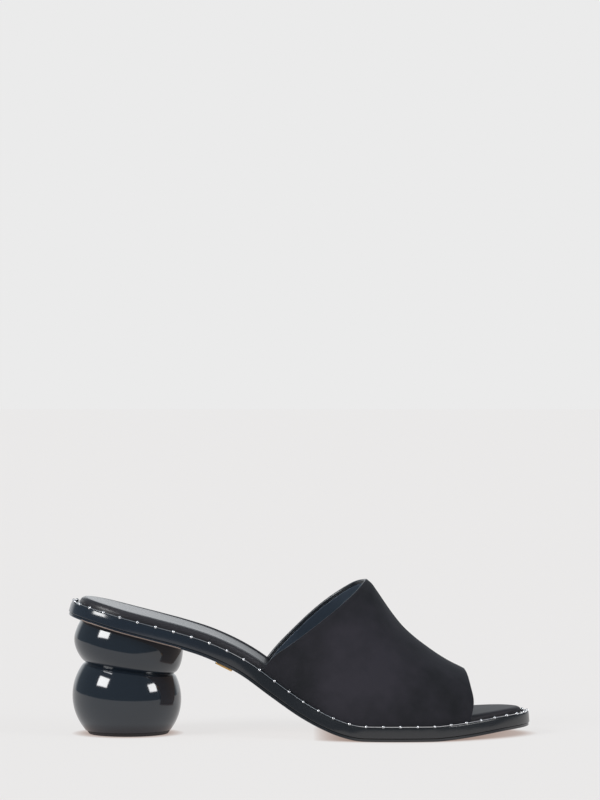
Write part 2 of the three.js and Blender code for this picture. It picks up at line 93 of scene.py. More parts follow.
def through(at, value):
    """A smooth curve through a table's column, level where the column turns."""
    at = np.array(at, float)
    value = np.array(value, float)
    chord = np.diff(value) / np.diff(at)
    slope = np.concatenate(([chord[0]], chord[:-1], [chord[-1]]))
    for i in range(1, len(at) - 1):
        before, after = chord[i - 1], chord[i]
        nearer = (at[i + 1] - at[i]) / (at[i + 1] - at[i - 1])
        limit = STEEPEST * min(abs(before), abs(after)) if before * after > 0 else 0
        slope[i] = np.clip(after + (before - after) * nearer, -limit, limit)

    def curve(x):
        x = np.clip(np.asarray(x, float), at[0], at[-1])
        i = np.clip(np.searchsorted(at, x) - 1, 0, len(at) - 2)
        span = at[i + 1] - at[i]
        t = (x - at[i]) / span
        rise = value[i + 1] - value[i]
        bend = slope[i] + slope[i + 1] - 2 * rise / span
        sag = 3 * rise / span - 2 * slope[i] - slope[i + 1]
        return value[i] + span * t * (slope[i] + t * (sag + t * bend))

    return curve


def column(rows, number):
    """One column of a table as a smooth curve over its first column."""
    return through([row[0] for row in rows], [row[number] for row in rows])


seat_rise = column(PROFILE, 1)
toe_rise = column(PROFILE, 2)
SLOPE_STEP = 0.5


def underside(x):
    """Height of the outsole's underside, x in millimetres forward from the back of the sole."""
    share = np.asarray(x, float) / LENGTH
    return SEAT_HEIGHT * seat_rise(share) + TOE_SPRING * toe_rise(share)


def place(x, y, lift):
    """Points of the sole, in millimetres: x along the underside, lift square to the sole."""
    back = np.maximum(0, x - SLOPE_STEP)
    front = np.minimum(LENGTH, x + SLOPE_STEP)
    slope = (underside(front) - underside(back)) / (front - back)
    size = np.hypot(1, slope)
    return np.stack([x - lift * slope / size + BACK, y + 0 * x, underside(x) + lift / size], -1)


outline_angle = [math.acos(1 - 2 * row[0]) for row in OUTLINE]
ball_share, lateral_half, medial_half = (
    through(outline_angle, [row[number] for row in OUTLINE]) for number in (1, 2, 3)
)
half_share = {-1: lateral_half, 1: medial_half}
ANGLE_STEP = 0.004


def outline(angle, side):
    """Plan of the sole by an angle from 0 at the back to pi at the toe, for one side."""
    width = SEAT_WIDTH + (BALL_WIDTH - SEAT_WIDTH) * ball_share(angle)
    return LENGTH * (1 - np.cos(angle)) / 2, side * width * half_share[side](angle)


def inset_outline(angle, side, inset):
    """The same plan set in by a distance, square to itself."""
    x, y = outline(angle, side)
    x0, y0 = outline(np.maximum(0, angle - ANGLE_STEP), side)
    x1, y1 = outline(np.minimum(math.pi, angle + ANGLE_STEP), side)
    run_x, run_y = x1 - x0, y1 - y0
    at_end = (angle < ANGLE_STEP) | (angle > math.pi - ANGLE_STEP)
    run_x = np.where(at_end, 0, run_x)
    size = np.hypot(run_x, run_y)
    return x + inset * side * run_y / size, y - inset * side * run_x / size


def ring(inset, lift):
    """One ring round the sole: the lateral side forward, then the medial side back."""
    angle = np.linspace(0, math.pi, SOLE_STEPS + 1)
    lateral = place(*inset_outline(angle, -1, inset), lift)
    medial = place(*inset_outline(angle, 1, inset), lift)
    return np.concatenate([lateral, medial[-2:0:-1]])


def mesh_piece(name, points, faces, materials, sharp_angle=40):
    """A mesh object from points in millimetres, smooth but for the edges sharper than an angle."""
    mesh = bpy.data.meshes.new(name)
    mesh.from_pydata((np.asarray(points) * MM).tolist(), [], faces)
    mesh.update()
    mesh.shade_smooth()
    mesh.set_sharp_from_angle(angle=math.radians(sharp_angle))
    for material in materials:
        mesh.materials.append(material)
    piece = bpy.data.objects.new(name, mesh)
    bpy.context.collection.objects.link(piece)
    return piece


def walls(rings, looped=False):
    """Faces between rings of points; looped also joins the last ring to the first."""
    count = len(rings[0])
    faces = []
    for k in range(len(rings) if looped else len(rings) - 1):
        low, high = k * count, (k + 1) % len(rings) * count
        for i in range(count):
            j = (i + 1) % count
            faces.append((low + i, low + j, high + j, high + i))
    return faces


def stacked(rings):
    """Points and faces of a solid stacked from rings, closed by ribs across the sole."""
    count = len(rings[0])
    faces = walls(rings)
    top = (len(rings) - 1) * count
    for i in range(count // 2):
        corners = list(dict.fromkeys((i, i + 1, count - i - 1, (count - i) % count)))
        faces.append([top + corner for corner in corners])
        faces.append(corners[::-1])
    return np.concatenate(rings), faces


def linear(colour):
    """An sRGB hex colour as linear RGBA."""
    parts = [int(colour[i : i + 2], 16) / 255 for i in (1, 3, 5)]
    return [c / 12.92 if c <= 0.04045 else ((c + 0.055) / 1.055) ** 2.4 for c in parts] + [1]


def node(tree, kind, inputs=None, **settings):
    """Adds a node with its settings; an input is a value or another node's socket."""
    added = tree.nodes.new(kind)
    for name, value in settings.items():
        setattr(added, name, value)
    for key, value in (inputs or {}).items():
        if isinstance(value, bpy.types.NodeSocket):
            tree.links.new(value, added.inputs[key])
        else:
            added.inputs[key].default_value = value
    return added


def finish_for(name):
    """An empty material and its node tree."""
    material = bpy.data.materials.new(name)
    material.use_nodes = True
    material.node_tree.nodes.clear()
    return material, material.node_tree


sole_leather, tree = finish_for("vegetable_tanned_sole_leather")
# Rolled sole leather: dull, smooth and pinkish tan, with a short fibre grain and faint handling marks
GRAIN = 1 / (0.9 * MM)
MARKS = 1 / (14 * MM)
where = node(tree, "ShaderNodeTexCoord").outputs["Object"]
grain = node(tree, "ShaderNodeTexNoise", {"Vector": where, "Scale": GRAIN, "Detail": 4})
marks = node(tree, "ShaderNodeTexNoise", {"Vector": where, "Scale": MARKS, "Detail": 3})
tan = node(tree, "ShaderNodeMix", {0: marks.outputs[0], 6: linear("#7F6E66"), 7: linear("#9A877C")},
           data_type="RGBA")
fibre = node(tree, "ShaderNodeBump", {"Height": grain.outputs[0], "Strength": 0.5, "Distance": 0.1 * MM})
skin = node(tree, "ShaderNodeBsdfPrincipled", {
    "Base Color": tan.outputs[2], "Roughness": 0.45, "Normal": fibre.outputs[0],
})
node(tree, "ShaderNodeOutputMaterial", {"Surface": skin.outputs[0]})

edge_paint, tree = finish_for("polished_edge_paint")
# Waxed edge paint: near black, glossy, with the faint ripple left by the sanding; at the seat it carries
# painted light, a navy tint where more light falls on the edge, fading out towards the toe
RIPPLE = 1 / (7 * MM)
NAVY_ENDS = 0.02
BLACK_STARTS = 0.07
where = node(tree, "ShaderNodeTexCoord").outputs["Object"]
forward = node(tree, "ShaderNodeSeparateXYZ", {"Vector": where}).outputs["X"]
# painted light: a navy tint at the seat, fading to the paint's near black towards the toe
painted_tint_fade = node(tree, "ShaderNodeMapRange", {
    "Value": forward, "From Min": NAVY_ENDS, "From Max": BLACK_STARTS,
})
paint_and_painted_tint = node(tree, "ShaderNodeMix", {0: painted_tint_fade.outputs[0], 6: linear("#18212C"), 7: linear("#17191D")},
           data_type="RGBA")
ripple = node(tree, "ShaderNodeTexNoise", {"Vector": where, "Scale": RIPPLE, "Detail": 2})
paint_skin = node(tree, "ShaderNodeBump", {
    "Height": ripple.outputs[0], "Strength": 0.35, "Distance": 0.15 * MM,
})
paint = node(tree, "ShaderNodeBsdfPrincipled", {
    "Base Color": paint_and_painted_tint.outputs[2], "Roughness": 0.16, "IOR": 1.62, "Normal": paint_skin.outputs[0],
})
node(tree, "ShaderNodeOutputMaterial", {"Surface": paint.outputs[0]})

EDGE = 0.25
BARE_LINE = 0.5
BARE_FROM = 8
BARE_TO = 60
outsole_rings = [
    ring(OUTSOLE_INSET + EDGE, 0),
    ring(OUTSOLE_INSET, EDGE),
    ring(OUTSOLE_INSET, BARE_LINE),
    ring(OUTSOLE_INSET, OUTSOLE_THICKNESS - EDGE),
    ring(OUTSOLE_INSET + EDGE, OUTSOLE_THICKNESS),
]
outsole_points, outsole_faces = stacked(outsole_rings)
outsole = mesh_piece("leather_outsole", outsole_points, outsole_faces, [sole_leather, edge_paint])
around_sole = len(outsole_rings[0])
for face in outsole.data.polygons[: (len(outsole_rings) - 1) * around_sole]:
    over_heel = (BACK + BARE_FROM) * MM < face.center.x < (BACK + BARE_TO) * MM
    face.material_index = 0 if over_heel and face.index < 2 * around_sole else 1
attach(outsole, "root")
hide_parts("outsole")

# Platform: a 5.2 mm fibre midsole whose side is built up with near-black edge paint, tinted navy at the seat
# as painted light, sanded and polished, and whose top stands out round the footbed as a narrow ledge.
PLATFORM_THICKNESS = 5.2
PLATFORM_BEVEL = 0.3
JOINT = 0.08
SHOULDER = (
    # along, how far the side leans in towards its top edge
    (0.00, 0.35), (0.20, 0.35), (0.45, 0.12), (1.00, 0.06),
)
SHOULDER_HEIGHT = 2.8
SHOULDER_STEPS = 6
TOP_EDGE = 0.35
PLATFORM_BASE = OUTSOLE_THICKNESS + GAP
LEDGE_LIFT = PLATFORM_BASE + PLATFORM_THICKNESS
BEVEL_STEPS = 5


def quarter_round(inset, lift, radius, steps, rising):
    """Rings of a rounded edge: from a bottom face out to the side, or from the side in to a top."""
    rings = []
    for step in range(steps + 1):
        turn = math.pi / 2 * step / steps
        into, up = (1 - math.sin(turn), -math.cos(turn)) if rising else (1 - math.cos(turn), math.sin(turn))
        rings.append(ring(inset + radius * into, lift + radius * up))
    return rings


shoulder_start = LEDGE_LIFT - SHOULDER_HEIGHT
shoulder_end = LEDGE_LIFT - TOP_EDGE
lean_at = column(SHOULDER, 1)
shoulder = lean_at((1 - np.cos(np.linspace(0, math.pi, SOLE_STEPS + 1))) / 2)
foot_edge = OUTSOLE_THICKNESS + JOINT + PLATFORM_BEVEL
platform_rings = quarter_round(0, foot_edge, PLATFORM_BEVEL, BEVEL_STEPS, True)
for step in range(SHOULDER_STEPS):
    share = step / SHOULDER_STEPS
    lift = shoulder_start + (shoulder_end - shoulder_start) * share
    platform_rings.append(ring(shoulder * share**2, lift))
platform_rings += quarter_round(shoulder, shoulder_end, TOP_EDGE, BEVEL_STEPS, False)
platform_points, platform_faces = stacked(platform_rings)
platform = mesh_piece("painted_platform", platform_points, platform_faces, [edge_paint])
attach(platform, "root")
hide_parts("platform")

# Heel: an ABS moulding of two stacked round forms, a cup on an orb, lacquered to a deep gloss and
# screwed up into the platform's seat, so that its upper face follows the outsole.
HEEL_CENTRE = 31.5
TOP_LIFT_THICKNESS = 1.6
ORB = {"radius": 28.25, "back": 0.9, "height": 18.7, "below": 27.1, "above": 28.3, "lean": 0.04}
CUP = {"radius": 28.65, "back": 0.3, "height": 44.2, "below": 18, "above": 28.7}
CUP_TILT = math.radians(16.2)
CREASE_FILLET = 0.15
CREASE_DEPTH = 0.6
CREASE_WIDTH = 0.8
CREASE_REACH = 2.5
HEEL_AROUND = 240
ORB_ROWS = 44
CREASE_ROWS = 28
CUP_ROWS = 40
SEAT_GAP = 0.05
HALVINGS = 40


def orb_radius(turn, height):
    """The leaning orb's distance from the heel's axis, by direction and height."""
    up = height - ORB["height"]
    semi = np.where(up < 0, ORB["below"], ORB["above"])
    own = ORB["radius"] * np.sqrt(np.maximum(0, 1 - (up / semi) ** 2))
    forward = -ORB["back"] - ORB["lean"] * up
    return forward * np.cos(turn) + np.sqrt(np.maximum(0, own**2 - (forward * np.sin(turn)) ** 2))


def cup_radius(turn, height):
    """The tilted cup's distance from the heel's axis, by direction and height; 0 clear of it."""
    cos_tilt, sin_tilt = math.cos(CUP_TILT), math.sin(CUP_TILT)
    up = height - CUP["height"]
    found = np.zeros(np.broadcast(turn, height).shape)
    for semi, above in ((CUP["above"], True), (CUP["below"], False)):
        # in the cup's own frame the ray starts at (start_x, start_z) and runs by (run_x, run_z)
        run_x, start_x = np.cos(turn) * cos_tilt, CUP["back"] * cos_tilt - up * sin_tilt
        run_z, start_z = np.cos(turn) * sin_tilt, CUP["back"] * sin_tilt + up * cos_tilt
        flat = (CUP["radius"] / semi) ** 2
        a = run_x**2 + np.sin(turn) ** 2 + flat * run_z**2
        b = run_x * start_x + flat * run_z * start_z
        c = start_x**2 + flat * start_z**2 - CUP["radius"] ** 2
        inside = b**2 - a * c
        r = (-b + np.sqrt(np.maximum(0, inside))) / a
        right_half = (start_z + r * run_z >= 0) == above
        found = np.where((inside > 0) & (r > 0) & right_half, np.maximum(found, r), found)
    return found


def halved(low, high, rising):
    """Where a rising function crosses zero between two limits, by halving."""
    low, high = np.array(low, float), np.array(high, float)
    for _ in range(HALVINGS):
        middle = (low + high) / 2
        over = rising(middle) > 0
        low, high = np.where(over, low, middle), np.where(over, middle, high)
    return (low + high) / 2


heel_turn = np.linspace(0, 2 * math.pi, HEEL_AROUND, endpoint=False)
heel_foot = TOP_LIFT_THICKNESS + GAP
crease_height = halved(
    ORB["height"] + 0 * heel_turn, CUP["height"] + 0 * heel_turn,
    lambda z: cup_radius(heel_turn, z) - orb_radius(heel_turn, z),
)
seat_height = halved(
    CUP["height"] - CUP["below"] / 2 + 0 * heel_turn, SEAT_HEIGHT + 0 * heel_turn,
    lambda z: z + SEAT_GAP - underside(HEEL_CENTRE + cup_radius(heel_turn, z) * np.cos(heel_turn)),
)

lacquer, tree = finish_for("lacquered_abs")
# Injection-moulded ABS under navy-black lacquer: mirror gloss, with only a breath of unevenness, so
# that the room and the floor show in it as clear bands
FLOW = 1 / (16 * MM)
where = node(tree, "ShaderNodeTexCoord").outputs["Object"]
flow = node(tree, "ShaderNodeTexNoise", {"Vector": where, "Scale": FLOW, "Detail": 1})
flow_skin = node(tree, "ShaderNodeBump", {"Height": flow.outputs[0], "Strength": 0.15, "Distance": 0.1 * MM})
gloss = node(tree, "ShaderNodeBsdfPrincipled", {
    "Base Color": linear("#161E27"), "Roughness": 0.08, "IOR": 1.65, "Normal": flow_skin.outputs[0],
})
node(tree, "ShaderNodeOutputMaterial", {"Surface": gloss.outputs[0]})


def capped(name, rows, materials, sharp_angle):
    """A closed piece from rings of points, each seen anticlockwise from the last ring's side."""
    count = len(rows[0])
    faces = walls(rows)
    first, last = len(rows) * count, len(rows) * count + 1
    top = (len(rows) - 1) * count
    for i in range(count):
        j = (i + 1) % count
        faces.append((first, j, i))
        faces.append((last, top + i, top + j))
    ends = [np.mean(rows[0], 0, keepdims=True), np.mean(rows[-1], 0, keepdims=True)]
    return mesh_piece(name, np.concatenate(rows + ends), faces, materials, sharp_angle)


def about_heel(distance, height):
    """A ring about the heel's axis."""
    return np.stack([distance * np.cos(heel_turn), distance * np.sin(heel_turn), height + 0 * heel_turn], -1)


lower_start = crease_height - CREASE_REACH
upper_start = crease_height + CREASE_REACH
heights = [heel_foot + (lower_start - heel_foot) * k / ORB_ROWS for k in range(ORB_ROWS)]
heights += [lower_start + 2 * CREASE_REACH * k / CREASE_ROWS for k in range(CREASE_ROWS)]
heights += [upper_start + (seat_height - upper_start) * k / CUP_ROWS for k in range(CUP_ROWS + 1)]
heel_rows = []
for height in heights:
    orb, cup = orb_radius(heel_turn, height), cup_radius(heel_turn, height)
    near = np.maximum(CREASE_FILLET - np.abs(orb - cup), 0)
    cut = CREASE_DEPTH * np.exp(-(((height - crease_height) / CREASE_WIDTH) ** 2))
    heel_rows.append(about_heel(np.maximum(orb, cup) + near**2 / (4 * CREASE_FILLET) - cut, height))
heel = capped("lacquered_heel", heel_rows, [lacquer], 50)
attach(heel, "root")
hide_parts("heel")

# Top lift: a 1.6 mm disc of dark moulded rubber pinned under the heel, its side flared up to the
# orb's, with a small bevel where it meets the floor.
FOOT_RADIUS = 20.7
TOP_LIFT_BEVEL = 0.3
TOP_LIFT_STEP = 0.3

lift_rubber, tree = finish_for("moulded_rubber")
# Dense heel rubber: almost black, dull, with a fine moulded grain drawn at half a millimetre to show
SPECKLE = 1 / (0.5 * MM)
where = node(tree, "ShaderNodeTexCoord").outputs["Object"]
speckle = node(tree, "ShaderNodeTexNoise", {"Vector": where, "Scale": SPECKLE, "Detail": 2})
black = node(tree, "ShaderNodeMix", {0: speckle.outputs[0], 6: linear("#15161A"), 7: linear("#2A2B2F")},
             data_type="RGBA")
moulded = node(tree, "ShaderNodeBump", {"Height": speckle.outputs[0], "Strength": 0.4, "Distance": 0.1 * MM})
rubber = node(tree, "ShaderNodeBsdfPrincipled", {
    "Base Color": black.outputs[2], "Roughness": 0.6, "Normal": moulded.outputs[0],
})
node(tree, "ShaderNodeOutputMaterial", {"Surface": rubber.outputs[0]})

lift_top = heel_foot - SEAT_GAP
below_orb = (ORB["height"] - TOP_LIFT_THICKNESS) / ORB["below"]
lift_reach = ORB["radius"] * math.sqrt(1 - below_orb**2) - TOP_LIFT_STEP
lift_rows = [
    about_heel(FOOT_RADIUS - TOP_LIFT_BEVEL, 0),
    about_heel(FOOT_RADIUS, TOP_LIFT_BEVEL),
    about_heel(lift_reach, lift_top - TOP_LIFT_BEVEL / 2),
    about_heel(lift_reach - TOP_LIFT_BEVEL / 2, lift_top),
]
top_lift = capped("rubber_top_lift", lift_rows, [lift_rubber], 30)
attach(top_lift, "root")
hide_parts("top_lift")

# Footbed: a foam pad under smooth black leather, its edge rolled over and down to the platform,
# glossy where the heel and waist rest and rubbed to satin at the toes.
LEDGE = 2.1
WALL = 1.8
INSOLE_THICKNESS = 3.9
INSOLE_ROLL = 2.8
DECK_LIFT = LEDGE_LIFT + GAP
INSOLE_INSET = LEDGE + WALL + GAP
ROLL_STEPS = 10
ARCH_RISE = (
    # distance from the back, how far the inner edge is cupped up
    (0, 0.4), (30, 0.4), (52, 0.55), (95, 0.9), (130, 0.5), (170, 0.1), (240, 0.1),
)
TOE_THINNING = (
    # distance from the back, how far the pad is pressed down
    (0, 0), (190, 0), (212, 0.8), (240, 1.2),
)
OUTER_DROP = 0.3
EDGE_FADE = (
    # distance in from the rolled edge, share of the edge's rise or drop
    (0.5, 0.5), (1.0, 0.12), (1.7, 0),
)

footbed_leather, tree = finish_for("glazed_calf_leather")
# Black calf over foam: burnished on the flat of the seat and waist, satin on the rolled edge and
# towards the toe, with pores drawn at 0.8 mm to show, and soft unevenness from the padding beneath
SEAT_TO_WAIST = (-0.02, 0.05)
BALL_TO_TOE = (0.098, 0.14)
FLAT_TO_ROLL = (0.93, 0.75)
PORES = 1 / (0.8 * MM)
PADDING = 1 / (22 * MM)
where = node(tree, "ShaderNodeTexCoord").outputs["Object"]
along = node(tree, "ShaderNodeSeparateXYZ", {"Vector": where}).outputs["X"]
pores = node(tree, "ShaderNodeTexNoise", {"Vector": where, "Scale": PORES, "Detail": 3})
pad = node(tree, "ShaderNodeTexNoise", {"Vector": where, "Scale": PADDING, "Detail": 2})
facing = node(tree, "ShaderNodeNewGeometry").outputs["Normal"]
upright = node(tree, "ShaderNodeSeparateXYZ", {"Vector": facing}).outputs["Z"]
dull = 0
for value, (start, end), gain in (
    (along, SEAT_TO_WAIST, 0.06), (along, BALL_TO_TOE, 0.2), (upright, FLAT_TO_ROLL, 0.2),
):
    more = node(tree, "ShaderNodeMapRange", {
        "Value": value, "From Min": start, "From Max": end, "To Max": gain,
    })
    dull = node(tree, "ShaderNodeMath", {0: more.outputs[0], 1: dull}).outputs[0]
shine = node(tree, "ShaderNodeMath", {0: dull, 1: 0.19})
unwaxed = node(tree, "ShaderNodeMapRange", {
    "Value": along, "From Min": BALL_TO_TOE[0], "From Max": BALL_TO_TOE[1], "To Min": 0.5, "To Max": 0.3,
})
tint = node(tree, "ShaderNodeMix", {0: pad.outputs[0], 6: linear("#262529"), 7: linear("#322F33")},
            data_type="RGBA")
soft = node(tree, "ShaderNodeBump", {"Height": pad.outputs[0], "Strength": 0.3, "Distance": 0.6 * MM})
fine = node(tree, "ShaderNodeBump", {
    "Height": pores.outputs[0], "Strength": 0.5, "Distance": 0.1 * MM, "Normal": soft.outputs[0],
})
calf = node(tree, "ShaderNodeBsdfPrincipled", {
    "Base Color": tint.outputs[2], "Roughness": shine.outputs[0], "IOR": 1.5, "Normal": fine.outputs[0],
    "Specular IOR Level": unwaxed.outputs[0],
})
node(tree, "ShaderNodeOutputMaterial", {"Surface": calf.outputs[0]})

arch_rise = column(ARCH_RISE, 1)
toe_thinning = column(TOE_THINNING, 1)


def footbed_ring(inset, height, edge_share):
    """A ring of the pad, pressed thinner at the toe, its inner edge cupped up along the arch."""
    angle = np.linspace(0, math.pi, SOLE_STEPS + 1)
    sides = []
    for side in (-1, 1):
        x, y = inset_outline(angle, side, inset)
        edge = arch_rise(x) if side > 0 else -OUTER_DROP
        pressed = height * (1 - toe_thinning(x) / INSOLE_THICKNESS)
        sides.append(place(x, y, DECK_LIFT + pressed + edge_share * edge * np.sin(angle)))
    return np.concatenate([sides[0], sides[1][-2:0:-1]])


insole_rings = [footbed_ring(INSOLE_INSET, 0, 0)]
for step in range(ROLL_STEPS + 1):
    turn = math.pi / 2 * step / ROLL_STEPS
    into, up = INSOLE_ROLL * (1 - math.cos(turn)), INSOLE_ROLL * (1 - math.sin(turn))
    insole_rings.append(footbed_ring(INSOLE_INSET + into, INSOLE_THICKNESS - up, step / ROLL_STEPS))
for distance, share in EDGE_FADE:
    insole_rings.append(footbed_ring(INSOLE_INSET + INSOLE_ROLL + distance, INSOLE_THICKNESS, share))
insole_points, insole_faces = stacked(insole_rings)
insole = mesh_piece("padded_footbed", insole_points, insole_faces, [footbed_leather], 60)
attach(insole, "root")
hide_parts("insole")

# Vamp: one wide band of black nubuck, lasted between platform and footbed, 1.8 mm thick with its
# lining; its throat and toe edges are turned over and cemented down inside.
THROAT_BASE = 100.5
PEAK_AT = 155
PEAK_HEIGHT = 80.2
VAMP_FRONT = 208
FRONT_BOW = 1.8
FRONT_HEIGHT = 32.4
RIDGE = (
    # share of the way from peak to front, share of the drop between them
    (-1.05, 2.05), (-0.66, 1.80), (-0.29, 1.42), (-0.09, 1.13), (0.000, 1.000), (0.058, 0.942),
    (0.117, 0.850), (0.234, 0.660), (0.353, 0.492), (0.470, 0.370), (0.590, 0.268), (0.706, 0.178),
    (0.823, 0.100), (0.940, 0.036), (1.000, 0.000), (1.060, -0.045),
)
SECTION = (
    # along, fullness on the lateral side, on the medial side, ridge's shift to the medial side
    (0.40, 2.05, 2.15, 0.02), (0.54, 2.00, 2.20, 0.05), (0.65, 1.90, 2.10, 0.05),
    (0.76, 1.95, 2.05, 0.03), (0.88, 2.20, 2.25, 0.00),
)
FRONT_EDGE = (
    # share of the way up from the base to the ridge, share of the bow forward
    (0.00, 0.00), (0.28, 1.00), (0.55, 0.25), (1.00, -0.83),
)
THROAT = (
    # share of the way from base to peak, share of the rise on the lateral side, on the medial side
    (0.000, 0.000, 0.000), (0.085, 0.125, 0.135), (0.290, 0.310, 0.395), (0.545, 0.545, 0.673),
    (0.790, 0.780, 0.880), (0.900, 0.890, 0.957), (1.000, 1.000, 1.000),
)
LEDGE_SAMPLES = 6001
AROUND_STEPS = 150
STATIONS = 110
FOLD_DEPTH = 1.6
FOLD_STEP = 0.3
FOLD_SHOULDER = 0.03
FOLD_ROUNDING = 0.14
GROOVE_AT = 1.0
GROOVE_STEP = 0.1
GROOVE_DEPTH = 0.26
SHELL = 1.15
SHELL_ROUNDING = 0.1
LINING_START = 2.0
LINING_GAP = 0.05
LINING_ROWS = (0, 0.5, 1.2)
FOLD_ARC = 8
WAXED_ARC = 6
PROBE = 0.002
GIRTH = 130
WEAR_LINES = (
    # x and share around at both ends, half width, depth of the trough, less than 0 for a ridge
    (126, 0.16, 150, 0.31, 6, 0.22),
    (164, 0.12, 176, 0.36, 6, -0.16),
    (176, 0.10, 188, 0.37, 6, 0.25),
)


ridge_rise = column(RIDGE, 1)
section_full = {-1: column(SECTION, 1), 1: column(SECTION, 2)}
ridge_shift = column(SECTION, 3)
front_bow = column(FRONT_EDGE, 1)
throat_rise = {-1: column(THROAT, 1), 1: column(THROAT, 2)}
ledge_angle = np.linspace(0, math.pi, LEDGE_SAMPLES)
ledge_line = {side: place(*inset_outline(ledge_angle, side, LEDGE), DECK_LIFT) for side in (-1, 1)}


def last_point(x, around):
    """The last's surface: x forward, around from the lateral base over the ridge to the medial base."""
    turn = math.pi / 2 * (1 - np.abs(2 * around - 1))
    ridge_y = BALL_WIDTH * ridge_shift(x / LENGTH)
    forward = (x - PEAK_AT) / (VAMP_FRONT - PEAK_AT)
    ridge_z = FRONT_HEIGHT + (PEAK_HEIGHT - FRONT_HEIGHT) * ridge_rise(forward)
    y, z = 0 * x, 0 * x
    for side in (-1, 1):
        line = ledge_line[side]
        base_y = np.interp(x + BACK, line[:, 0], line[:, 1])
        base_z = np.interp(x + BACK, line[:, 0], line[:, 2])
        power = 2 / section_full[side](x / LENGTH)
        here = (around < 0.5) == (side < 0)
        across = np.maximum(0, np.cos(turn)) ** power
        up = np.maximum(0, np.sin(turn)) ** power
        y = np.where(here, ridge_y + (base_y - ridge_y) * across, y)
        z = np.where(here, base_z + (ridge_z - base_z) * up, z)
    return np.stack([x + BACK, y, z], -1)


def throat_x(around):
    """Where the throat's edge cuts the last, for each way round it."""
    edge_at = {}
    for side in (-1, 1):
        line = ledge_line[side]
        foot = np.interp(THROAT_BASE + BACK, line[:, 0], line[:, 2])
        edge_at[side] = lambda x, side=side, foot=foot: foot + (PEAK_HEIGHT - foot) * throat_rise[side](
            (x - THROAT_BASE) / (PEAK_AT - THROAT_BASE))

    def over(x):
        edge = np.where(around < 0.5, edge_at[-1](x), edge_at[1](x))
        return edge - last_point(x, around)[..., 2]

    return halved(THROAT_BASE + 0 * around, PEAK_AT + 0 * around, over)


def front_x(around):
    """Where the toe opening's edge cuts the last."""
    return VAMP_FRONT + FRONT_BOW * front_bow(1 - np.abs(2 * around - 1))


throat_table = np.linspace(0, 1, 1201)
throat_places = throat_x(throat_table)


def wear(x, around):
    """How far the vamp stands out from the last: soft troughs and ridges where it has flexed."""
    out = 0 * x
    for x0, around0, x1, around1, half, depth in WEAR_LINES:
        run, rise = x1 - x0, (around1 - around0) * GIRTH
        along = ((x - x0) * run + (around - around0) * GIRTH * rise) / (run**2 + rise**2)
        nearest = np.clip(along, 0, 1)
        off = np.hypot(x - x0 - nearest * run, (around - around0) * GIRTH - nearest * rise)
        out = out - depth * np.exp(-((off / half) ** 2))
    return out


def vamp_point(share, around):
    """The vamp's outer surface: share from the throat's edge to the toe opening's."""
    back = np.interp(around, throat_table, throat_places)
    x = back + (front_x(around) - back) * share
    point = last_point(x, around)
    swing = math.pi * around
    outward = np.stack([0 * x, -np.cos(swing) + 0 * x, np.sin(swing) + 0 * x], -1)
    return point + outward * wear(x, around + 0 * x)[..., None]


def unit(vectors):
    return vectors / np.linalg.norm(vectors, axis=-1, keepdims=True)


def vamp_frame(share, around):
    """Outer points with their outward normals and the lengths that a share spans square to the edges."""
    after = vamp_point(share + PROBE, around)
    before = vamp_point(share - PROBE, around)
    higher = vamp_point(share, np.minimum(1, around + PROBE))
    lower = vamp_point(share, np.maximum(0, around - PROBE))
    forward = (after - before) / (2 * PROBE)
    across = unit(higher - lower)
    foot = (around <= 0) | (around >= 1)
    level = np.where(foot[..., None], across * [0, 0, 1], across)
    normal = unit(np.cross(forward, level))
    reach = np.linalg.norm(np.cross(forward, across), axis=-1)
    return vamp_point(share, around), normal, reach


def band(name, outer_depth, inner_rows, material):
    """A closed sheet within the vamp's wall, its two edges rounded about the middle of the wall.

    inner_rows are (distance in from an edge, depth of the sheet's inner face), from the edge in."""
    around = np.linspace(0, 1, AROUND_STEPS + 1)
    throat_reach = vamp_frame(PROBE + 0 * around, around)[2]
    front_reach = vamp_frame(1 - PROBE + 0 * around, around)[2]
    near = [(distance / throat_reach, depth) for distance, depth in inner_rows]
    far = [(1 - distance / front_reach, depth) for distance, depth in inner_rows[::-1]]
    middle = []
    for k in range(1, STATIONS):
        share = near[-1][0] + (far[0][0] - near[-1][0]) * k / STATIONS
        middle.append((share, inner_rows[-1][1]))
    outer, inner = [], []
    for share, depth in near + middle + far:
        point, normal, _ = vamp_frame(share, around)
        outer.append(point - normal * outer_depth)
        inner.append(point - normal * depth)

    def rounded(start, end, beyond):
        centre, half = (start + end) / 2, (start - end) / 2
        out = unit(np.cross(np.gradient(start, axis=0), half))
        out = out * np.linalg.norm(half, axis=-1, keepdims=True)
        out = np.where(np.sum(out * (start - beyond), -1, keepdims=True) > 0, out, -out)
        turns = [math.pi * k / FOLD_ARC for k in range(1, FOLD_ARC)]
        return [centre + half * math.cos(turn) + out * math.sin(turn) for turn in turns]

    toe_edge = rounded(outer[-1], inner[-1], outer[-2])
    throat_edge = rounded(inner[0], outer[0], inner[1])
    rows = outer + toe_edge + inner[::-1] + throat_edge
    size, count, last = AROUND_STEPS + 1, len(rows), len(outer) - 1
    faces = []
    for k in range(count):
        after = (k + 1) % count
        for j in range(AROUND_STEPS):
            faces.append((k * size + j, after * size + j, after * size + j + 1, k * size + j + 1))
    inner_row = [count - len(throat_edge) - 1 - k for k in range(last + 1)]
    caps = [(k, k + 1, inner_row[k + 1], inner_row[k]) for k in range(last)]
    caps.append(list(range(last, inner_row[last] + 1)))
    caps.append(list(range(inner_row[0], count)) + [0])
    for cap in caps:
        faces.append([row * size for row in cap][::-1])
        faces.append([row * size + AROUND_STEPS for row in cap])
    return mesh_piece(name, np.concatenate(rows), faces, [material], 50)


nubuck, tree = finish_for("black_nubuck")
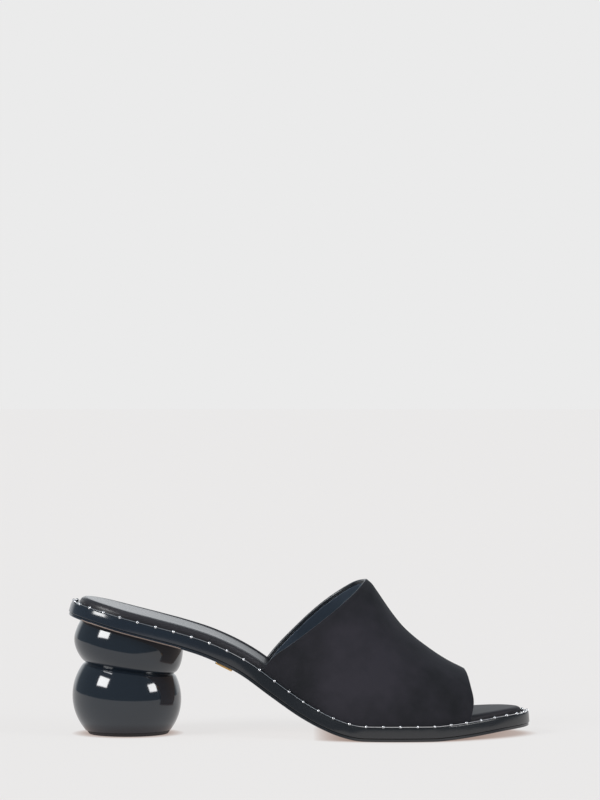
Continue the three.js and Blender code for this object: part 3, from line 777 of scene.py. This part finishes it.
# Buffed calf with a very short nap: matt black with a soft sheen, clouded where the nap lies another way,
# and with a painted highlight that makes it a little paler about the middle of the outer side, where light
# falls most
NAP = 1 / (0.7 * MM)
CLOUD = 1 / (17 * MM)
PAINTED_LIGHT_AT = (0.122, -0.035, 0.038)
PAINTED_LIGHT_FROM = 0.042
PAINTED_LIGHT_TO = 0.008
where = node(tree, "ShaderNodeTexCoord").outputs["Object"]
nap = node(tree, "ShaderNodeTexNoise", {"Vector": where, "Scale": NAP, "Detail": 5, "Roughness": 0.65})
cloud = node(tree, "ShaderNodeTexNoise", {"Vector": where, "Scale": CLOUD, "Detail": 4, "Roughness": 0.55})
mottle = node(tree, "ShaderNodeMapRange", {"Value": cloud.outputs[0], "From Min": 0.35, "From Max": 0.65})
# painted highlight: a paler patch about the middle of the outer side, added to the random mottle
off_middle = node(tree, "ShaderNodeVectorMath", {0: where, 1: PAINTED_LIGHT_AT}, operation="DISTANCE")
painted_light = node(tree, "ShaderNodeMapRange", {
    "Value": off_middle.outputs["Value"], "From Min": PAINTED_LIGHT_FROM, "From Max": PAINTED_LIGHT_TO, "To Max": 0.7,
}, interpolation_type="SMOOTHSTEP")
mottle_and_painted_light = node(tree, "ShaderNodeMath", {0: mottle.outputs[0], 1: 0.5, 2: painted_light.outputs[0]},
             operation="MULTIPLY_ADD")
hue = node(tree, "ShaderNodeMix", {0: mottle_and_painted_light.outputs[0], 6: linear("#17181C"), 7: linear("#2D2B32")},
           data_type="RGBA")
hair = node(tree, "ShaderNodeBump", {"Height": nap.outputs[0], "Strength": 0.5, "Distance": 0.12 * MM})
suede = node(tree, "ShaderNodeBsdfPrincipled", {
    "Base Color": hue.outputs[2], "Roughness": 0.85, "Specular IOR Level": 0.25, "Normal": hair.outputs[0],
    "Sheen Weight": 0.07, "Sheen Roughness": 0.45, "Sheen Tint": linear("#C8CCD8"),
})
node(tree, "ShaderNodeOutputMaterial", {"Surface": suede.outputs[0]})

lining_leather, tree = finish_for("navy_lining_leather")
# Thin glazed kid: dark navy, smooth, glossier than the outside, with its grain drawn at 0.9 mm to show
KID_GRAIN = 1 / (0.9 * MM)
where = node(tree, "ShaderNodeTexCoord").outputs["Object"]
kid = node(tree, "ShaderNodeTexNoise", {"Vector": where, "Scale": KID_GRAIN, "Detail": 3})
glaze = node(tree, "ShaderNodeBump", {"Height": kid.outputs[0], "Strength": 0.3, "Distance": 0.06 * MM})
lining_skin = node(tree, "ShaderNodeBsdfPrincipled", {
    "Base Color": linear("#4B5663"), "Roughness": 0.38, "IOR": 1.5, "Normal": glaze.outputs[0],
})
node(tree, "ShaderNodeOutputMaterial", {"Surface": lining_skin.outputs[0]})

binding, tree = finish_for("burnished_edge_leather")
# The turned edge of the throat: skived leather, waxed and burnished, so that it draws a fine light line
waxed = node(tree, "ShaderNodeBsdfPrincipled", {
    "Base Color": linear("#23282F"), "Roughness": 0.32, "IOR": 1.6,
})
node(tree, "ShaderNodeOutputMaterial", {"Surface": waxed.outputs[0]})

# The turned-in edge, from the edge in: full thickness, a fine creased groove, then the step down to
# the nubuck alone, which the lining comes up to
shell_rows = [
    (WALL / 2, WALL),
    (GROOVE_AT, WALL),
    (GROOVE_AT + GROOVE_STEP, WALL - GROOVE_DEPTH),
    (GROOVE_AT + 3 * GROOVE_STEP, WALL - GROOVE_DEPTH / 2),
    (FOLD_DEPTH * 0.95, WALL - FOLD_SHOULDER),
    (FOLD_DEPTH, WALL - FOLD_ROUNDING),
    (FOLD_DEPTH + FOLD_STEP * 0.5, (WALL + SHELL) / 2),
    (FOLD_DEPTH + FOLD_STEP, SHELL + SHELL_ROUNDING),
    (FOLD_DEPTH + FOLD_STEP * 1.5, SHELL),
]
vamp = band("nubuck_vamp", 0, shell_rows, nubuck)
vamp.data.materials.append(binding)
waxed_rows = len(shell_rows) + WAXED_ARC
throat_rows = 2 * (STATIONS - 1 + 2 * len(shell_rows) + FOLD_ARC - 1) - (FOLD_ARC - WAXED_ARC)
first_waxed = (throat_rows - waxed_rows) * AROUND_STEPS
for face in vamp.data.polygons[first_waxed : throat_rows * AROUND_STEPS]:
    face.material_index = 1
lining_outer = SHELL + LINING_GAP
lining_edge = LINING_START + (WALL - lining_outer) / 2
lining_rows = [(lining_edge + further, WALL) for further in LINING_ROWS]
lining = band("vamp_lining", lining_outer, lining_rows, lining_leather)
for piece in (vamp, lining):
    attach(piece, "root")
    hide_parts("upper")

# Stud trim: nickel-plated ball studs, 1.7 mm across, set about 9 mm apart along the ledge on the
# thin strip that they are pinned through, a little further apart at the waist.
STUD_RADIUS = 0.85
STUD_HEIGHT = 1
STUD_PITCH = 9.04
STUD_SPREAD = (
    # shares of one side's studs, and of its length, both from the back
    (0.00, 0.000), (0.06, 0.055), (0.25, 0.249), (0.44, 0.452),
    (0.62, 0.633), (0.75, 0.759), (0.88, 0.890), (1.00, 1.000),
)
STRIP_INSET = 1
STRIP_WIDTH = 0.8
STRIP_THICKNESS = 0.3
LOOP_STEPS = 360
stud_along = column(STUD_SPREAD, 1)


def stud_angles(side):
    """Where studs stand along one side of the ledge, between the one at the back and the toe's."""
    angle = np.linspace(0, math.pi, LOOP_STEPS + 1)
    line = place(*inset_outline(angle, side, STRIP_INSET), DECK_LIFT)
    run = np.concatenate([[0], np.cumsum(np.linalg.norm(np.diff(line, axis=0), axis=1))])
    count = round(run[-1] / STUD_PITCH)
    return np.interp(run[-1] * stud_along(np.arange(1, count) / count), run, angle)


nickel, tree = finish_for("nickel_plated_steel")
# Bright nickel plate: white metal, polished by tumbling, so its gloss is a little broken
TUMBLING = 1 / (1.2 * MM)
where = node(tree, "ShaderNodeTexCoord").outputs["Object"]
tumble = node(tree, "ShaderNodeTexNoise", {"Vector": where, "Scale": TUMBLING, "Detail": 2})
handled = node(tree, "ShaderNodeMapRange", {"Value": tumble.outputs[0], "To Min": 0.12, "To Max": 0.3})
plate = node(tree, "ShaderNodeBsdfPrincipled", {
    "Base Color": linear("#D6D6D8"), "Metallic": 1, "Roughness": handled.outputs[0],
})
node(tree, "ShaderNodeOutputMaterial", {"Surface": plate.outputs[0]})

studs_tree = bpy.data.node_groups.new("ball_studs", "GeometryNodeTree")
studs_tree.interface.new_socket("Spots", in_out="INPUT", socket_type="NodeSocketGeometry")
studs_tree.interface.new_socket("Geometry", in_out="OUTPUT", socket_type="NodeSocketGeometry")
studs_tree.interface.new_socket("Radius", in_out="INPUT", socket_type="NodeSocketFloat")
studs_tree.interface.new_socket("Height", in_out="INPUT", socket_type="NodeSocketFloat")
studs_tree.interface.new_socket("Finish", in_out="INPUT", socket_type="NodeSocketMaterial")
given = node(studs_tree, "NodeGroupInput").outputs
upward = node(studs_tree, "GeometryNodeInputNamedAttribute", {"Name": "up"}, data_type="FLOAT_VECTOR")
standing = node(studs_tree, "FunctionNodeAlignRotationToVector", {"Vector": upward.outputs[0]}, axis="Z")
ball = node(studs_tree, "GeometryNodeMeshUVSphere", {"Segments": 20, "Rings": 12, "Radius": given["Radius"]})
sunk = node(studs_tree, "ShaderNodeMath", {0: given["Height"], 1: given["Radius"]}, operation="SUBTRACT")
seat_at = node(studs_tree, "ShaderNodeCombineXYZ", {"Z": sunk.outputs[0]}).outputs[0]
pin = node(studs_tree, "GeometryNodeTransform", {"Geometry": ball.outputs[0], "Translation": seat_at})
studs_on = node(studs_tree, "GeometryNodeInstanceOnPoints", {
    "Points": given["Spots"], "Instance": pin.outputs[0], "Rotation": standing.outputs[0],
})
real = node(studs_tree, "GeometryNodeRealizeInstances", {"Geometry": studs_on.outputs[0]})
rounded_studs = node(studs_tree, "GeometryNodeSetShadeSmooth", {"Geometry": real.outputs[0]})
plated = node(studs_tree, "GeometryNodeSetMaterial", {
    "Geometry": rounded_studs.outputs[0], "Material": given["Finish"],
})
node(studs_tree, "NodeGroupOutput", {"Geometry": plated.outputs[0]})

feet, tips = [], []
for side, angles in ((-1, np.concatenate([[0], stud_angles(-1), [math.pi]])), (1, stud_angles(1))):
    line = inset_outline(angles, side, STRIP_INSET)
    feet.append(place(*line, DECK_LIFT))
    tips.append(place(*line, DECK_LIFT + STUD_HEIGHT))
feet, tips = np.concatenate(feet), np.concatenate(tips)
spots_mesh = bpy.data.meshes.new("stud_spots")
spots_mesh.from_pydata((feet * MM).tolist(), [], [])
spots_mesh.attributes.new("up", "FLOAT_VECTOR", "POINT")
spots_mesh.attributes["up"].data.foreach_set("vector", (tips - feet).ravel())
stud_spots = bpy.data.objects.new("stud_spots", spots_mesh)
bpy.context.collection.objects.link(stud_spots)


def grown(source, tree, name, settings):
    """The plain mesh that a Geometry Nodes tree makes from an object, which is then removed."""
    modifier = source.modifiers.new(tree.name, "NODES")
    modifier.node_group = tree
    for item in tree.interface.items_tree:
        if item.in_out == "INPUT" and item.name in settings:
            modifier[item.identifier] = settings[item.name]
    bpy.context.view_layer.update()
    evaluated = source.evaluated_get(bpy.context.evaluated_depsgraph_get())
    piece = bpy.data.objects.new(name, bpy.data.meshes.new_from_object(evaluated))
    bpy.context.collection.objects.link(piece)
    bpy.data.objects.remove(source)
    return piece


studs = grown(stud_spots, studs_tree, "ball_studs", {
    "Radius": STUD_RADIUS * MM, "Height": STUD_HEIGHT * MM, "Finish": nickel,
})
strip_edges = (STRIP_INSET - STRIP_WIDTH / 2, STRIP_INSET + STRIP_WIDTH / 2)
strip_rings = [
    ring(strip_edges[0], DECK_LIFT),
    ring(strip_edges[0], DECK_LIFT + STRIP_THICKNESS),
    ring(strip_edges[1], DECK_LIFT + STRIP_THICKNESS),
    ring(strip_edges[1], DECK_LIFT),
]
strip = mesh_piece("stud_strip", np.concatenate(strip_rings), walls(strip_rings, looped=True), [nickel], 30)
for piece in (studs, strip):
    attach(piece, "root")
    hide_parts("stud_trim")

# Waist bar: a plain round-ended bar of polished brass, pinned under the outer edge of the waist.
BAR_AT = 82
BAR_LENGTH = 9.4
BAR_WIDTH = 2.6
BAR_THICKNESS = 1
BAR_INSET = 0.6
BAR_BEVEL = 0.3
BAR_AROUND = 96

brass, tree = finish_for("polished_brass")
# Yellow brass, buffed and lacquered: warm and bright, its gloss a little broken by the buffing
BUFFING = 1 / (1.5 * MM)
where = node(tree, "ShaderNodeTexCoord").outputs["Object"]
buffing = node(tree, "ShaderNodeTexNoise", {"Vector": where, "Scale": BUFFING, "Detail": 2})
buffed = node(tree, "ShaderNodeMapRange", {"Value": buffing.outputs[0], "To Min": 0.18, "To Max": 0.34})
yellow = node(tree, "ShaderNodeBsdfPrincipled", {
    "Base Color": linear("#CDA568"), "Metallic": 1, "Roughness": buffed.outputs[0],
})
node(tree, "ShaderNodeOutputMaterial", {"Surface": yellow.outputs[0]})

bar_angle = float(np.arccos(1 - 2 * BAR_AT / LENGTH))
bar_x, bar_y = inset_outline(np.array(bar_angle), -1, OUTSOLE_INSET + BAR_INSET + BAR_WIDTH / 2)
bar_seat = place(bar_x, bar_y, -SEAT_GAP)
bar_down = unit(place(bar_x, bar_y, -SEAT_GAP - 1) - bar_seat)
bar_across = np.array([0, 1, 0])
bar_along = np.cross(bar_across, bar_down)
bar_turn = np.linspace(0, 2 * math.pi, BAR_AROUND, endpoint=False)
bar_reach = (BAR_LENGTH - BAR_WIDTH) / 2
bar_rows = []
for step in range(BEVEL_STEPS + 1):
    turn = math.pi / 2 * step / BEVEL_STEPS
    into, down = BAR_BEVEL * (1 - math.cos(turn)), BAR_THICKNESS - BAR_BEVEL * (1 - math.sin(turn))
    bar_rows.append((into, down))
bar_rows = [(BAR_BEVEL / 2, 0), (0, BAR_BEVEL / 2)] + bar_rows
bar_rings = []
for inset, depth in bar_rows:
    radius = BAR_WIDTH / 2 - inset
    run = radius * np.cos(bar_turn) + bar_reach * np.sign(np.cos(bar_turn).round(9))
    spread = radius * np.sin(bar_turn)
    bar_rings.append(bar_seat + run[:, None] * bar_along + spread[:, None] * bar_across + depth * bar_down)
bar = capped("brass_waist_bar", bar_rings, [brass], 40)
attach(bar, "root")
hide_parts("waist_bar")

# Studio: a pale floor that ends just in front of the shoe, a white backdrop low behind it, and a dim
# room in front and above with two softboxes and two strip lights, which the lacquer mirrors.
FLOOR_REACH = 60
FLOOR_FRONT = -0.33
FLOOR_ALBEDO = 0.12
FLOOR_GLOW = 0.735
CONTACT_REACH = 0.007
CONTACT_SHADE = 0.45
BACKDROP = "#EBEBEB"
ROOM = "#7C858D"
BACKDROP_SIDES = (0.66, 0.8)
BACKDROP_TOP = (0.42, 0.22)
BACKDROP_BRIGHTNESS = 0.74
OVERHEAD_SIDES = (0.86, 0.96)
OVERHEAD_BRIGHTNESS = 0.3
LIGHT_SOFTNESS = 0.012
LIGHTS = (
    # bearing towards the toe from the camera's side, elevation, width, height in degrees, brightness
    (-55, 30, 24, 18, 14),
    (-57, 51, 20, 3, 8),
    (64, 21, 18, 14, 13),
    (74, 42, 16, 3, 10),
)

floor_mesh = bpy.data.meshes.new("studio_floor")
floor_mesh.from_pydata([
    (-FLOOR_REACH, FLOOR_FRONT, 0), (FLOOR_REACH, FLOOR_FRONT, 0),
    (FLOOR_REACH, FLOOR_REACH, 0), (-FLOOR_REACH, FLOOR_REACH, 0),
], [], [(0, 1, 2, 3)])
floor = bpy.data.objects.new("studio_floor", floor_mesh)
bpy.context.collection.objects.link(floor)
floor_finish, tree = finish_for("white_paper_floor")
# Matt white paper that also glows evenly, with a painted contact shadow where the shoe comes close, tinted
# warm as painted bounce light from the sole
paper = node(tree, "ShaderNodeBsdfDiffuse", {"Color": [FLOOR_ALBEDO] * 3 + [1]})
open_air = node(tree, "ShaderNodeAmbientOcclusion", {"Distance": CONTACT_REACH}, samples=16)
# painted shadow: the floor's glow dims where the shoe is within reach
glow_with_painted_shadow = node(tree, "ShaderNodeMapRange", {
    "Value": open_air.outputs["AO"], "To Min": FLOOR_GLOW * (1 - CONTACT_SHADE), "To Max": FLOOR_GLOW,
}).outputs[0]
# painted bounce light: the glow turns warm pink where it is dimmed near the shoe
painted_bounce_tint = node(tree, "ShaderNodeMix", {0: open_air.outputs["AO"], 6: linear("#EBCFC2"), 7: linear("#FFFDFC")},
              data_type="RGBA")
glow = node(tree, "ShaderNodeEmission", {"Color": painted_bounce_tint.outputs[2], "Strength": glow_with_painted_shadow})
lit_and_glowing = node(tree, "ShaderNodeAddShader", {0: paper.outputs[0], 1: glow.outputs[0]})
node(tree, "ShaderNodeOutputMaterial", {"Surface": lit_and_glowing.outputs[0]})
floor_mesh.materials.append(floor_finish)

world = bpy.data.worlds.new("studio")
world.use_nodes = True
tree = world.node_tree
tree.nodes.clear()
direction = node(tree, "ShaderNodeTexCoord").outputs["Generated"]
spread = node(tree, "ShaderNodeSeparateXYZ", {"Vector": direction}).outputs
behind = node(tree, "ShaderNodeMapRange", {
    "Value": spread["Y"], "From Min": BACKDROP_SIDES[0], "From Max": BACKDROP_SIDES[1],
    "To Max": BACKDROP_BRIGHTNESS,
})
low = node(tree, "ShaderNodeMapRange", {
    "Value": spread["Z"], "From Min": BACKDROP_TOP[0], "From Max": BACKDROP_TOP[1],
})
backdrop = node(tree, "ShaderNodeMath", {0: behind.outputs[0], 1: low.outputs[0]}, operation="MULTIPLY")
overhead = node(tree, "ShaderNodeMapRange", {
    "Value": spread["Z"], "From Min": OVERHEAD_SIDES[0], "From Max": OVERHEAD_SIDES[1],
    "To Max": OVERHEAD_BRIGHTNESS,
})
brightness = node(tree, "ShaderNodeMath", {0: backdrop.outputs[0], 1: overhead.outputs[0]})
for bearing, elevation, width, height, strength in LIGHTS:
    turn, rise = math.radians(bearing), math.radians(elevation)
    towards = Vector((math.sin(turn) * math.cos(rise), -math.cos(turn) * math.cos(rise), math.sin(rise)))
    level = Vector((math.cos(turn), math.sin(turn), 0))
    ahead = node(tree, "ShaderNodeVectorMath", {0: direction, 1: towards}, operation="DOT_PRODUCT")
    facing = node(tree, "ShaderNodeMath", {0: ahead.outputs["Value"], 1: 0}, operation="GREATER_THAN")
    mask = facing.outputs[0]
    for axis, angle in ((level, width), (towards.cross(level), height)):
        aside = node(tree, "ShaderNodeVectorMath", {0: direction, 1: axis}, operation="DOT_PRODUCT")
        off = node(tree, "ShaderNodeMath", {0: aside.outputs["Value"]}, operation="ABSOLUTE").outputs[0]
        half = math.sin(math.radians(angle / 2))
        inside = node(tree, "ShaderNodeMapRange", {
            "Value": off, "From Min": half + LIGHT_SOFTNESS, "From Max": half - LIGHT_SOFTNESS,
        }).outputs[0]
        mask = node(tree, "ShaderNodeMath", {0: mask, 1: inside}, operation="MULTIPLY").outputs[0]
    brightness = node(tree, "ShaderNodeMath", {0: mask, 1: strength, 2: brightness.outputs[0]},
                      operation="MULTIPLY_ADD")
room = node(tree, "ShaderNodeBackground", {"Color": linear(ROOM)})
lamps = node(tree, "ShaderNodeBackground", {"Color": [1, 1, 1, 1], "Strength": brightness.outputs[0]})
around_shoe = node(tree, "ShaderNodeAddShader", {0: room.outputs[0], 1: lamps.outputs[0]})
seen = node(tree, "ShaderNodeBackground", {"Color": linear(BACKDROP)})
eye = node(tree, "ShaderNodeLightPath").outputs["Is Camera Ray"]
shown = node(tree, "ShaderNodeMixShader", {0: eye, 1: around_shoe.outputs[0], 2: seen.outputs[0]})
node(tree, "ShaderNodeOutputWorld", {"Surface": shown.outputs[0]})
bpy.context.scene.world = world
